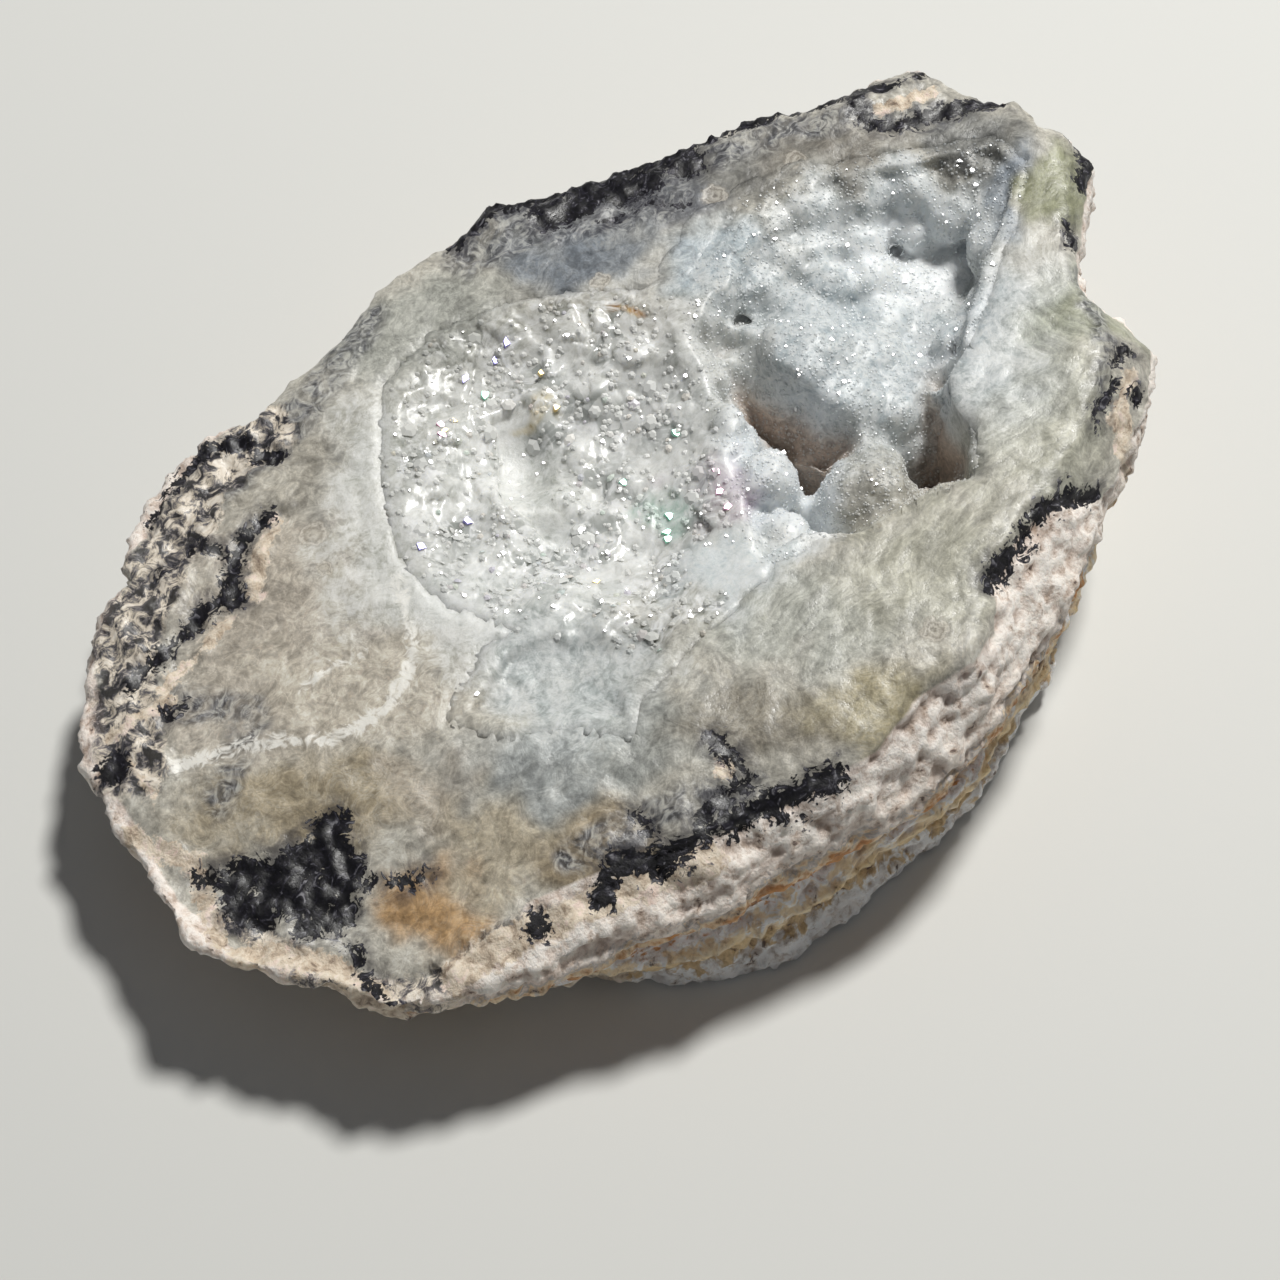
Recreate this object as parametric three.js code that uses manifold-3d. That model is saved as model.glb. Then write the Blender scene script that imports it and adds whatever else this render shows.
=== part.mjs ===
// Half of an agate geode, lying on its rind with the broken face up, in millimetres, +Z up.
// Two bodies: the stone with its hollow, and the one crust of crystals that lines the hollow.
import * as THREE from "three";
import { mergeVertices } from "three/addons/utils/BufferGeometryUtils.js";
import Module from "manifold-3d";

// The broken face is nearly a plane that rises towards +X and falls towards +Y.
const faceHeight = 18.0;
const faceRiseX = 0.119;
const faceRiseY = -0.107;

// Sideways shift that puts the middle of the whole outline on the origin.
const shiftX = -0.18;
const shiftY = 0.08;

// Outermost line of the rind seen from above, anticlockwise from the +X tip.
const rimOutline = [
  [49, 0.6], [48, 3], [48.4, 6.2], [46, 9.8], [45.6, 15.2], [41.5, 17.4], [37.5, 18.6], [31.8, 21.6],
  [27.4, 23], [20.8, 25.8], [14.4, 29], [10.4, 32.2], [6.8, 31.8], [2.6, 32.4], [-1, 32.6], [-6.3, 30.8],
  [-12.2, 30.7], [-16.7, 29.8], [-19.4, 31.6], [-23, 31.2], [-25.8, 30.8], [-30.7, 28.8], [-33, 25],
  [-36.8, 24.4], [-40.6, 21.3], [-43.6, 18.3], [-46.3, 14.6], [-46.4, 10.8], [-47.7, 8.2], [-47.4, 5.4],
  [-48.3, -0.5], [-49, -3.7], [-47.8, -6.4], [-45.8, -9.6], [-42.4, -14.6], [-41.4, -18], [-38.4, -20],
  [-35.2, -21.2], [-31.4, -23.4], [-27.2, -24.8], [-22.6, -26], [-17.4, -28], [-11.6, -29.6], [-5, -31],
  [1.5, -31.6], [7.6, -31], [12.6, -29.4], [18.2, -28], [24, -25.8], [30, -23.6], [35, -21.2], [38.6, -18.6],
  [38.8, -15.4], [38.4, -10.8], [40.6, -8.4], [44.4, -5.8], [48.4, -2.8],
];
// Where the face meets the rind: on the near side a sloping ledge lies outside this line.
const faceOutline = [
  [48, 0], [46, 6], [44, 14], [31, 20.8], [20, 25], [10, 31], [0, 31.6], [-12, 29.6], [-23, 30], [-31, 27],
  [-40, 20.4], [-45.4, 11], [-47.4, 0], [-46.6, -6.4], [-41, -14], [-37.6, -19.4], [-31, -19.8],
  [-29.2, -18.8], [-23, -21.4], [-16.8, -24.8], [-9, -27.6], [-2.6, -28.8], [1.7, -28], [7.2, -28.8],
  [10.6, -28], [13, -24.6], [21.6, -23.2], [29, -20.2], [35, -16.8], [37.6, -10.6], [42.6, -5.2],
];
// The flat spot it rests on.
const footOutline = [
  [28, -8], [26, 2], [18, 9], [5, 12], [-8, 10], [-17, 3], [-22, -8], [-22.6, -18], [-21.4, -26],
  [-17.4, -30.4], [-12, -31.8], [-3, -32], [5.4, -31.8], [10.6, -30.8], [14, -29.4], [17.4, -27.2], [21, -25.2],
  [24.4, -23.4], [27, -18],
];
const longestRimStep = 4.2;
const ledgeDrop = 4.6;

// Rings down the rind from the ledge (1) to the foot (0), with how far each stands out on the layered near side.
const rindRings = [
  { level: 1.0, stands: 0.0 },
  { level: 0.92, stands: 0.5 },
  { level: 0.82, stands: 0.9 },
  { level: 0.72, stands: 0.8 },
  { level: 0.64, stands: -0.3 },
  { level: 0.56, stands: -1.1 },
  { level: 0.47, stands: 0.1 },
  { level: 0.37, stands: 0.9 },
  { level: 0.26, stands: -0.2 },
  { level: 0.14, stands: 0.6 },
  { level: 0.04, stands: 0.4 },
];
const rindRoughness = 1.2;
const rindLumpSize = 6.5;
const faceRings = [0.97, 0.91, 0.82, 0.7, 0.56, 0.42, 0.28, 0.14];
const faceRoughness = 0.55;
const faceLumpSize = 5.5;

// The near part of the face falls away below this line, from the -X tip to the near edge.
const bevelLine = [[-46, 10], [-39.5, 7], [-31, 0], [-25, -3.5], [-21, -10], [-15.6, -17], [-8.5, -20.5], [2, -27]];
const bevelSlope = 0.16;
// Rough pits and knobs on the face: place, size across, height (pits below nought).
const facePits = [
  { at: [-38, -11], across: 5.5, height: -0.9 },
  { at: [-33, -15], across: 3.5, height: -0.8 },
  { at: [-12, -25], across: 4.0, height: -0.7 },
  { at: [-19, -21], across: 3.0, height: -0.7 },
  { at: [-36, 16], across: 4.5, height: -0.6 },
  { at: [-38, 11], across: 3.5, height: -0.7 },
  { at: [5, 30], across: 5.0, height: -0.8 },
  { at: [18, 24], across: 4.0, height: -0.6 },
  { at: [38, 16.5], across: 3.6, height: 1.0 },
  { at: [44, 14.5], across: 1.8, height: 0.9 },
  { at: [-42, -3], across: 4.0, height: -0.5 },
  { at: [27, -17], across: 3.5, height: -0.5 },
];

// The hollow is three bowls run together. Each ring is a share of the mouth and a depth under the face.
const pocketBowl = {
  centre: [22, -1],
  mouth: [
    [44, 0.5], [44.4, 4.5], [38, 9.4], [31, 14.4], [25.4, 16], [18, 13.5], [12.5, 9.5], [9.5, 3], [5, -4],
    [1, -11.8], [6.4, -13.4], [9, -15.4], [14.4, -16.4], [19, -18.4], [22.4, -15.4], [23, -12], [24.6, -10],
    [29, -8.6], [34.4, -5], [39.6, -2.4],
  ],
  rings: [
    { share: 1, depth: 0.4 }, { share: 0.98, depth: 3.6 }, { share: 0.92, depth: 7.4 }, { share: 0.8, depth: 10.6 },
    { share: 0.55, depth: 13 }, { share: 0.25, depth: 13.6 },
  ],
};
const crystalBowl = {
  centre: [-2, 5],
  mouth: [
    [13.5, 3], [15, 9], [17, 13], [12.6, 17], [9.6, 20], [5, 23.4], [-1, 25.4], [-7, 24.4], [-13, 17.4],
    [-17, 10], [-17.4, 4.4], [-15.4, -1], [-12.6, -6], [-9, -11], [-4, -13.4], [2, -12.8], [7, -8],
  ],
  rings: [
    { share: 1, depth: 1.1 }, { share: 0.9, depth: 2.6 }, { share: 0.72, depth: 4.2 }, { share: 0.45, depth: 6 },
    { share: 0.2, depth: 6.6 },
  ],
};
const shelfBowl = {
  centre: [-13.5, -8],
  mouth: [
    [-4, -9], [-6, -4], [-13, -1.6], [-18, -1], [-24, -3.6], [-22, -8.4], [-17.4, -12], [-14.6, -16],
    [-12, -13.8], [-8, -13.4], [-5, -12.6],
  ],
  rings: [{ share: 1, depth: 0.8 }, { share: 0.86, depth: 2.4 }, { share: 0.5, depth: 3 }],
};
const mouthRise = 5;
const longestMouthStep = 5.5;
const wallRoughness = 0.5;
const wallLumpSize = 4;
const crustGap = 0.45;
const mouthThickness = 0.9;
const floorThickness = { pocket: 2.6, crystals: 1.7, shelf: 1.4 };

// Rounded chalcedony lumps in the pocket: place, depth of the middle under the face, radius.
const lumps = [
  { at: [18.6, 1.4], deep: 4.8, radius: 5.2 },
  { at: [15.4, 4.6], deep: 5.4, radius: 4.6 },
  { at: [18.4, -3.4], deep: 6.0, radius: 4.8 },
  { at: [22.6, 4.8], deep: 6.6, radius: 4.4 },
  { at: [23.2, -1.2], deep: 6.8, radius: 4.2 },
  { at: [21.4, -7.2], deep: 7.4, radius: 3.6 },
  { at: [20.0, 0.0], deep: 9.5, radius: 6.5 },
  { at: [14.2, -12.2], deep: 3.8, radius: 3.4 },
  { at: [17.6, -14.8], deep: 6.6, radius: 2.8 },
  { at: [9.8, -4.8], deep: 4.8, radius: 2.5 },
  { at: [11.0, -8.6], deep: 4.4, radius: 1.6 },
  { at: [6.0, -9.4], deep: 5.2, radius: 2.9 },
  { at: [9.0, -11.6], deep: 6.0, radius: 2.8 },
  { at: [9.4, -0.6], deep: 5.0, radius: 3.4 },
  { at: [5.6, -5.4], deep: 4.6, radius: 3.0 },
  { at: [25.8, 13.0], deep: 4.6, radius: 2.6 },
  { at: [30.4, 11.4], deep: 5.0, radius: 2.4 },
  { at: [34.0, 8.6], deep: 5.4, radius: 2.3 },
  { at: [29.8, 5.2], deep: 6.4, radius: 2.9 },
  { at: [26.4, 7.8], deep: 6.0, radius: 2.9 },
  { at: [22.0, 10.4], deep: 4.8, radius: 3.4 },
  { at: [28.2, 1.4], deep: 8.0, radius: 3.0 },
  { at: [26.2, -4.6], deep: 8.8, radius: 3.0 },
  { at: [32.6, 2.6], deep: 8.8, radius: 2.8 },
  { at: [36.4, 4.8], deep: 7.8, radius: 2.6 },
  { at: [37.8, 1.2], deep: 9.0, radius: 2.5 },
  { at: [40.8, 3.4], deep: 6.6, radius: 2.1 },
  { at: [31.4, -1.8], deep: 10.0, radius: 2.8 },
  { at: [16.0, 10.6], deep: 3.0, radius: 2.6 },
];
const lumpRoughness = 0.35;

// Broken quartz standing in the crystal bowl, and a few smaller points on the shelf.
const quartz = { count: 58, smallest: 0.9, largest: 2.7, lean: 0.9 };
const shelfSlab = { at: [0.6, -9.2], deep: 3.2, radius: 4.0, flat: 0.55 };
const seed = 41;
const smallestEdge = 0.12;

const wasm = await Module();
wasm.setup();

// A repeatable run of numbers from 0 to 1.
function numberSource(start) {
  let state = start;
  return () => {
    state = (state * 16807) % 2147483647;
    return state / 2147483647;
  };
}

function hash(i, j, k) {
  const wave = Math.sin(i * 127.1 + j * 311.7 + k * 74.7) * 43758.5453;
  return wave - Math.floor(wave);
}

// Smooth lumps from -1 to 1, about `size` mm apart.
function lumpNoise(x, y, z, size) {
  const p = [x / size, y / size, z / size];
  const cell = p.map(Math.floor);
  const part = p.map((v, n) => v - cell[n]).map((v) => v * v * (3 - 2 * v));
  let sum = 0;
  for (let corner = 0; corner < 8; corner++) {
    const on = [corner & 1, (corner >> 1) & 1, corner >> 2];
    const share = on.reduce((all, bit, n) => all * (bit ? part[n] : 1 - part[n]), 1);
    sum += share * hash(cell[0] + on[0], cell[1] + on[1], cell[2] + on[2]);
  }
  return 2 * sum - 1;
}

function rough(x, y, z, size) {
  return (2 * lumpNoise(x, y, z, size) + lumpNoise(x + 50, y, z, size / 2.3)) / 3;
}

function planeHeight(x, y) {
  return faceHeight + faceRiseX * x + faceRiseY * y;
}

// Distance from the middle to a closed outline, looking along one angle.
function reach(outline, angle, middle = [0, 0]) {
  const dx = Math.cos(angle);
  const dy = Math.sin(angle);
  let best = 0;
  outline.forEach(([ax, ay], n) => {
    const [bx, by] = outline[(n + 1) % outline.length];
    const ex = bx - ax;
    const ey = by - ay;
    const cross = dx * ey - dy * ex;
    if (Math.abs(cross) < 1e-9) return;
    const along = ((ax - middle[0]) * ey - (ay - middle[1]) * ex) / cross;
    const share = ((ax - middle[0]) * dy - (ay - middle[1]) * dx) / cross;
    if (along > 0 && share >= -1e-9 && share <= 1 + 1e-9) best = Math.max(best, along);
  });
  return best;
}

// Outline points with extra ones between those that are far apart.
function filled(outline, longest) {
  const points = [];
  outline.forEach(([ax, ay], n) => {
    const [bx, by] = outline[(n + 1) % outline.length];
    const parts = Math.ceil(Math.hypot(bx - ax, by - ay) / longest);
    for (let k = 0; k < parts; k++) points.push([ax + ((bx - ax) * k) / parts, ay + ((by - ay) * k) / parts]);
  });
  return points;
}

// Rings of equal length, each a list of [x, y, z], closed at both ends by one point.
function closedRings(rings, first, last) {
  const count = rings[0].length;
  const points = [first, ...rings.flat(), last];
  const end = points.length - 1;
  const triangles = [];
  for (let n = 0; n < count; n++) {
    const next = (n + 1) % count;
    triangles.push(0, 1 + n, 1 + next);
    for (let ring = 0; ring < rings.length - 1; ring++) {
      const here = 1 + ring * count;
      const below = here + count;
      const evenSplit = (n + ring) % 2 === 0;
      const [a, b, c, d] = [here + n, below + n, below + next, here + next];
      triangles.push(...(evenSplit ? [a, b, c, a, c, d] : [a, b, d, b, c, d]));
    }
    const base = 1 + (rings.length - 1) * count;
    triangles.push(end, base + next, base + n);
  }
  const geometry = new THREE.BufferGeometry();
  geometry.setAttribute("position", new THREE.Float32BufferAttribute(points.flat(), 3));
  geometry.setIndex(triangles);
  return geometry;
}

function solidFrom(geometry) {
  const bare = new THREE.BufferGeometry();
  bare.setAttribute("position", geometry.getAttribute("position"));
  if (geometry.index) bare.setIndex(geometry.index);
  const merged = mergeVertices(bare, 1e-4);
  const corners = [];
  const all = merged.index.array;
  for (let n = 0; n < all.length; n += 3) {
    const [a, b, c] = [all[n], all[n + 1], all[n + 2]];
    if (a !== b && b !== c && c !== a) corners.push(a, b, c);
  }
  const mesh = new wasm.Mesh({
    numProp: 3,
    vertProperties: new Float32Array(merged.getAttribute("position").array),
    triVerts: new Uint32Array(corners),
  });
  return new wasm.Manifold(mesh);
}

function geometryFrom(solid) {
  const mesh = solid.getMesh();
  const geometry = new THREE.BufferGeometry();
  geometry.setAttribute("position", new THREE.Float32BufferAttribute(mesh.vertProperties, 3));
  geometry.setIndex(Array.from(mesh.triVerts));
  geometry.translate(shiftX, shiftY, 0);
  return geometry.toNonIndexed();
}

// How far a place lies on the near side of the bevel line, in millimetres.
function beyondBevel(x, y) {
  let nearest = Infinity;
  let beyond = 0;
  for (let n = 0; n < bevelLine.length - 1; n++) {
    const [ax, ay] = bevelLine[n];
    const [bx, by] = bevelLine[n + 1];
    const square = (bx - ax) ** 2 + (by - ay) ** 2;
    const share = Math.min(1, Math.max(0, ((x - ax) * (bx - ax) + (y - ay) * (by - ay)) / square));
    const away = Math.hypot(x - ax - share * (bx - ax), y - ay - share * (by - ay));
    const side = (x - ax) * (by - ay) - (y - ay) * (bx - ax);
    if (away < nearest) {
      nearest = away;
      beyond = side > 0 ? away : 0;
    }
  }
  return beyond;
}

// The broken face: plane, bevel, pits and a gentle unevenness.
function faceZ(x, y) {
  let z = planeHeight(x, y) - bevelSlope * beyondBevel(x, y);
  for (const pit of facePits) {
    const away = Math.hypot(x - pit.at[0], y - pit.at[1]) / pit.across;
    z += pit.height * Math.exp(-away * away * 2);
  }
  return z + faceRoughness * rough(x, y, 3, faceLumpSize);
}

// 1 on the near side, where the layers of the rind show, and 0 round the back.
function nearSide(angle) {
  return Math.max(0, Math.cos(angle + Math.PI * 0.47)) ** 0.6;
}

function stoneBody() {
  const angles = filled(rimOutline, longestRimStep).map(([x, y]) => Math.atan2(y, x));
  const rings = [];
  for (const share of [...faceRings].reverse()) {
    rings.push(angles.map((angle) => {
      const far = share * reach(faceOutline, angle);
      const [x, y] = [far * Math.cos(angle), far * Math.sin(angle)];
      return [x, y, faceZ(x, y)];
    }));
  }
  rings.push(angles.map((angle) => {
    const far = reach(faceOutline, angle);
    const [x, y] = [far * Math.cos(angle), far * Math.sin(angle)];
    return [x, y, faceZ(x, y) - 0.35];
  }));
  for (const ring of rindRings) {
    rings.push(angles.map((angle) => {
      const near = nearSide(angle);
      const rim = reach(rimOutline, angle);
      const foot = reach(footOutline, angle);
      const top = planeHeight(rim * Math.cos(angle), rim * Math.sin(angle)) - ledgeDrop * near - 0.7;
      const swell = Math.sqrt(1 - (1 - ring.level) ** 2);
      let far = foot + (rim - foot) * swell + ring.stands * near;
      const z = ring.level * top;
      const bump = rough(far * Math.cos(angle), far * Math.sin(angle), z * 1.6, rindLumpSize);
      if (ring.level < 1) far += rindRoughness * bump;
      return [far * Math.cos(angle), far * Math.sin(angle), Math.max(z, 0.35)];
    }));
  }
  rings.push(angles.map((angle) => {
    const far = reach(footOutline, angle) - 0.4;
    return [far * Math.cos(angle), far * Math.sin(angle), 0];
  }));
  return solidFrom(closedRings(rings, [0, 0, faceZ(0, 0)], [0, 0, 0]));
}

// One bowl as a solid that also reaches above the face. `inset` draws its mouth inwards, `floorInset` its floor.
function bowlSolid(bowl, inset, floorInset = inset) {
  const [cx, cy] = bowl.centre;
  const points = filled(bowl.mouth, longestMouthStep);
  const ringAt = (share, depth, drawnIn, roughness) => points.map(([px, py]) => {
    const angle = Math.atan2(py - cy, px - cx);
    const full = Math.hypot(px - cx, py - cy);
    const bump = roughness * lumpNoise(px + share * 9, py, share * 14, wallLumpSize);
    const far = full * share - drawnIn + bump;
    const [x, y] = [cx + far * Math.cos(angle), cy + far * Math.sin(angle)];
    return [x, y, planeHeight(x, y) - depth];
  });
  const rings = [ringAt(1, -mouthRise, inset, 0)];
  const last = bowl.rings.length - 1;
  bowl.rings.forEach((ring, n) => {
    const drawnIn = inset + ((floorInset - inset) * n) / last;
    const depth = Math.max(ring.depth - drawnIn, 0.1 * n - 0.5);
    rings.push(ringAt(ring.share, depth, drawnIn, n ? wallRoughness : 0));
  });
  const floor = bowl.rings[last].depth - floorInset + 0.2;
  const top = [cx, cy, planeHeight(cx, cy) + mouthRise];
  return solidFrom(closedRings(rings, top, [cx, cy, planeHeight(cx, cy) - floor]));
}

function hollow(inset) {
  return bowlSolid(pocketBowl, inset)
    .add(bowlSolid(crystalBowl, inset))
    .add(bowlSolid(shelfBowl, inset));
}

// A lump with its middle `deep` under the face.
function lumpSolid({ at: [x, y], deep, radius, flat = 1 }, detail) {
  const ball = new THREE.IcosahedronGeometry(radius, detail);
  const place = ball.getAttribute("position");
  for (let n = 0; n < place.count; n++) {
    const [px, py, pz] = [place.getX(n), place.getY(n), place.getZ(n)];
    const grow = 1 + (lumpRoughness / radius) * lumpNoise(x + px, y + py, pz - deep, 1.6);
    place.setXYZ(n, x + px * grow, y + py * grow, planeHeight(x, y) - deep + pz * grow * flat);
  }
  return solidFrom(ball);
}

// A six-sided quartz point, its foot at the origin.
function quartzPoint(radius, length) {
  const profile = [[0, -radius], [radius, -radius], [radius, length * 0.6], [0, length]];
  return new THREE.LatheGeometry(profile.map(([x, y]) => new THREE.Vector2(x, y)), 6).rotateX(Math.PI / 2);
}

// Depth of the crust's own surface under the face in the crystal bowl.
function crystalFloor(x, y) {
  const [cx, cy] = crystalBowl.centre;
  const share = Math.hypot(x - cx, y - cy) / reach(crystalBowl.mouth, Math.atan2(y - cy, x - cx), [cx, cy]);
  return 4.6 - 4.2 * Math.min(share, 1) ** 1.6;
}

function quartzField() {
  const next = numberSource(seed);
  const [cx, cy] = crystalBowl.centre;
  const points = [];
  for (let n = 0; n < quartz.count; n++) {
    const angle = n * 2.39996;
    const share = Math.sqrt((n + 0.5) / quartz.count) * 0.97;
    const far = share * reach(crystalBowl.mouth, angle, [cx, cy]);
    const [x, y] = [cx + far * Math.cos(angle), cy + far * Math.sin(angle)];
    const radius = quartz.smallest + (quartz.largest - quartz.smallest) * next() ** 1.5;
    const point = quartzPoint(radius, radius * (1.0 + 0.7 * next()));
    point.rotateZ(next() * Math.PI);
    point.rotateX((next() - 0.5) * 2 * quartz.lean);
    point.rotateY((next() - 0.5) * 2 * quartz.lean);
    point.translate(x, y, planeHeight(x, y) - crystalFloor(x, y) - 0.5);
    points.push(solidFrom(point));
  }
  return points;
}

function crustBody(body) {
  const room = hollow(crustGap).intersect(body);
  const thin = crustGap + mouthThickness;
  const free = bowlSolid(pocketBowl, thin, crustGap + floorThickness.pocket)
    .add(bowlSolid(crystalBowl, thin, crustGap + floorThickness.crystals))
    .add(bowlSolid(shelfBowl, thin, crustGap + floorThickness.shelf));
  let crust = room.subtract(free);
  const pieces = [
    ...lumps.map((lump) => lumpSolid(lump, lump.radius > 2.9 ? 2 : 1)),
    lumpSolid(shelfSlab, 2),
    ...quartzField(),
  ];
  for (const piece of pieces) crust = crust.add(piece);
  crust = crust.intersect(room);
  const bodies = crust.decompose().sort((a, b) => b.volume() - a.volume());
  return bodies[0].asOriginal().simplify(smallestEdge);
}

function stoneMaterial() {
  return new THREE.MeshStandardMaterial({ name: "stone", color: 0xaea99d, roughness: 0.6, metalness: 0 });
}

function crystalMaterial() {
  return new THREE.MeshStandardMaterial({ name: "crystal_crust", color: 0xc3cacd, roughness: 0.25, metalness: 0 });
}

function namedMesh(name, solid, material) {
  const mesh = new THREE.Mesh(geometryFrom(solid), material);
  mesh.name = name;
  return mesh;
}

const body = stoneBody();
const group = new THREE.Group();
group.add(namedMesh("stone", body.subtract(hollow(0)), stoneMaterial()));
group.add(namedMesh("crystal_crust", crustBody(body), crystalMaterial()));

export default group;
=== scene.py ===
import math
import random
import bmesh
import bpy
import numpy as np
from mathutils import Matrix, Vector, noise


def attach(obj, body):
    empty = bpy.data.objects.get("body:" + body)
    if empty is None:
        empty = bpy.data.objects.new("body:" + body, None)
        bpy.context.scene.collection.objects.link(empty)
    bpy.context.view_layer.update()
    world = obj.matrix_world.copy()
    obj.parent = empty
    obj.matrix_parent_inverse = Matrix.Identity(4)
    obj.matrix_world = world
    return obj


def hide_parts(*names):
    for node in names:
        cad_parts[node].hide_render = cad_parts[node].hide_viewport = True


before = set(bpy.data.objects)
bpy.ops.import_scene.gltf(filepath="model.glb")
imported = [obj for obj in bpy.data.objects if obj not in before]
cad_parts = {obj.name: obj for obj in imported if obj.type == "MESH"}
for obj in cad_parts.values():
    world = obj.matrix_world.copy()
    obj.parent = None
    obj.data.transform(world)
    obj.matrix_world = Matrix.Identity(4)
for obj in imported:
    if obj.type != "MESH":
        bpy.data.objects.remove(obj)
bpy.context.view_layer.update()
scene = bpy.context.scene
mm = 0.001
random.seed(7)
print("frame loaded")

# The broken face is close to a plane. Places on it are (x, y) in millimetres, seen from above.
face = {"height": 18.0, "riseX": 0.119, "riseY": -0.107}
pictureLevel = math.radians(-42)  # direction of the picture's level line on the face
edgeOfFace = [
    (49.8, 0.8), (48, 5), (47.4, 9), (45.8, 14), (43.6, 16), (38.6, 18.2), (32.8, 21.2), (28.2, 23.2), (24.6, 24.6),
    (22, 26.4), (15.4, 29.4), (11.6, 32), (7.6, 32.6), (0, 33), (-12, 30.6), (-23, 30.4), (-31, 27),
    (-40, 20.4), (-45.4, 11), (-47.4, 0), (-46.6, -6.4), (-41, -14), (-37.6, -19.4), (-31, -19.8),
    (-29.2, -18.8), (-23, -21.4), (-16.8, -24.8), (-9, -27.6), (-2.6, -28.8), (1.7, -28), (7.2, -28.8),
    (10.6, -28), (13, -24.6), (21.6, -23.2), (26.4, -24.8), (31, -22.8), (36, -20.6), (38.6, -17.6), (39.2, -15.4),
    (38.2, -12), (39.6, -8.6), (44, -5), (48.2, -2.6),
]
pocketMouth = [
    (44, 0.5), (44.4, 4.5), (38, 9.4), (31, 14.4), (25.4, 16), (18, 13.5), (12.5, 9.5), (9.5, 3), (5, -4),
    (1, -11.8), (6.4, -13.4), (9, -15.4), (14.4, -16.4), (19, -18.4), (22.4, -15.4), (23, -12), (24.6, -10),
    (29, -8.6), (34.4, -5), (39.6, -2.4),
]
crystalMouth = [
    (13.5, 3), (15, 9), (17, 13), (12.6, 17), (9.6, 20), (5, 23.4), (-1, 25.4), (-7, 24.4), (-13, 17.4),
    (-17, 10), (-17.4, 4.4), (-15.4, -1), (-12.6, -6), (-9, -11), (-4, -13.4), (2, -12.8), (7, -8),
]
shelfMouth = [
    (-4, -9), (-6, -4), (-13, -1.6), (-18, -1), (-24, -3.6), (-22, -8.4), (-17.4, -12), (-14.6, -16),
    (-12, -13.8), (-8, -13.4), (-5, -12.6),
]


def colour(code):
    part = [int(code[n:n + 2], 16) / 255 for n in (1, 3, 5)]
    return [c / 12.92 if c <= 0.04045 else ((c + 0.055) / 1.055) ** 2.4 for c in part]


def planeHeight(x, y):
    return face["height"] + face["riseX"] * x + face["riseY"] * y


def smoothStep(low, high, value):
    t = np.clip((value - low) / (high - low), 0, 1)
    return t * t * (3 - 2 * t)


def noiseAt(points, size, offset=0.0):
    return np.array([noise.noise(Vector(p)) for p in points / size + offset])


def cellsAt(points, size):  # 0 at a cell's middle, growing to its edge
    return np.array([noise.voronoi(Vector(p))[0][0] for p in points / size])


def facetsAt(points, size, slope):  # each cell of space is a flat break that leans its own way
    lift = np.empty(len(points))
    for n, p in enumerate(points / size):
        middle = noise.voronoi(Vector(p))[1][0]
        lift[n] = noise.noise_vector(middle * 3.7).dot(Vector(p) - middle)
    return lift * slope * size


def lineDistance(points, line):
    best = np.full(len(points), 1e9)
    for start, end in zip(line[:-1], line[1:]):
        edge = np.subtract(end, start)
        fromStart = points[:, :2] - start
        share = np.clip(fromStart @ edge / max(edge @ edge, 1e-9), 0, 1)
        best = np.minimum(best, np.linalg.norm(fromStart - share[:, None] * edge, axis=1))
    return best


def insideBy(points, outline):  # distance in from a closed outline, below nought outside
    x, y = points[:, 0], points[:, 1]
    inside = np.zeros(len(points), bool)
    for (ax, ay), (bx, by) in zip(outline, outline[1:] + outline[:1]):
        if by != ay:
            inside ^= ((ay > y) != (by > y)) & (x < (bx - ax) * (y - ay) / (by - ay) + ax)
    away = lineDistance(points, outline + outline[:1])
    return np.where(inside, away, -away)


def linked(name, data):
    piece = bpy.data.objects.new(name, data)
    scene.collection.objects.link(piece)
    return piece


def settled(piece):  # the piece's modifiers become its own plain mesh
    bpy.context.view_layer.update()
    seen = piece.evaluated_get(bpy.context.evaluated_depsgraph_get())
    mesh = bpy.data.meshes.new_from_object(seen)
    piece.modifiers.clear()
    old, piece.data = piece.data, mesh
    bpy.data.meshes.remove(old)
    return piece


def remeshedCopy(node, name, build, balls=()):  # the CAD piece with balls fused to it, as one even skin
    work = bmesh.new()
    work.from_mesh(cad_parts[node].data)
    bmesh.ops.remove_doubles(work, verts=work.verts, dist=1e-6)
    for middle, radius in balls:
        made = bmesh.ops.create_icosphere(work, subdivisions=3, radius=radius * mm)
        bmesh.ops.translate(work, verts=made["verts"], vec=Vector(middle) * mm)
    mesh = bpy.data.meshes.new(name)
    work.to_mesh(mesh)
    work.free()
    piece = linked(name, mesh)
    remesh = piece.modifiers.new("remesh", "REMESH")
    remesh.mode = "VOXEL"
    remesh.voxel_size = build["voxel"] * mm
    remesh.use_smooth_shade = True
    soften = piece.modifiers.new("soften", "SMOOTH")
    soften.factor = 0.5
    soften.iterations = build["smoothing"]
    return settled(piece)


def readPoints(mesh):
    flat = np.empty(len(mesh.vertices) * 3)
    mesh.vertices.foreach_get("co", flat)
    return flat.reshape(-1, 3) / mm


def readNormals(mesh):
    flat = np.empty(len(mesh.vertices) * 3)
    mesh.vertex_normals.foreach_get("vector", flat)
    return flat.reshape(-1, 3)


def writePoints(mesh, points):
    mesh.vertices.foreach_set("co", (points * mm).ravel())
    mesh.update()


def storeNumbers(mesh, numbers):
    for name, values in numbers.items():
        mesh.attributes.new(name, "FLOAT", "POINT").data.foreach_set("value", values.astype(np.float32))


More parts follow.
